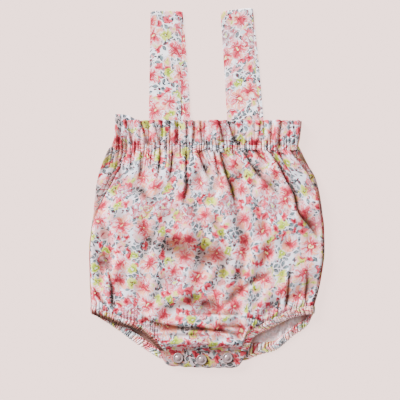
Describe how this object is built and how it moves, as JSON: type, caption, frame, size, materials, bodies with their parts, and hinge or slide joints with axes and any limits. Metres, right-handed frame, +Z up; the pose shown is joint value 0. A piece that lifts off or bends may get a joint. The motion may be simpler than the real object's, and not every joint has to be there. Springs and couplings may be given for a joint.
{
  "type": "baby bubble romper overalls",
  "caption": "Baby bubble romper with two wide shoulder straps, ruffled waist, gathered leg openings and a snap crotch tab, laid flat.",
  "frame": {"origin": "on the surface the garment lies on, under the middle of the whole outline", "axes": "+X across the garment to its right as seen from above, +Y from the snap tab towards the shoulder straps, +Z up from the surface through the front"},
  "size_m": [0.2826, 0.432, 0.02],
  "materials": {
    "cloth_front": "printed cotton poplin, small floral",
    "cloth_back": "printed cotton poplin, small floral",
    "cloth_strap": "printed cotton poplin, small floral",
    "cloth_band": "printed cotton poplin gathered on elastic",
    "snap_plastic": "smooth translucent"
  },
  "bodies": {
    "root": {"front_panel": "cloth_front", "back_panel": "cloth_back", "front_header": "cloth_front", "back_header": "cloth_back", "front_casing": "cloth_band", "back_casing": "cloth_band", "leg_band_front_left": "cloth_band", "leg_band_front_right": "cloth_band", "leg_band_back_left": "cloth_band", "leg_band_back_right": "cloth_band", "front_placket": "cloth_front", "back_placket": "cloth_back", "snap_cap_1": "snap_plastic", "snap_cap_2": "snap_plastic", "snap_cap_3": "snap_plastic", "snap_socket_1": "snap_plastic", "snap_socket_2": "snap_plastic", "snap_socket_3": "snap_plastic", "strap_left": "cloth_strap", "strap_right": "cloth_strap"}
  },
  "joints": []
}
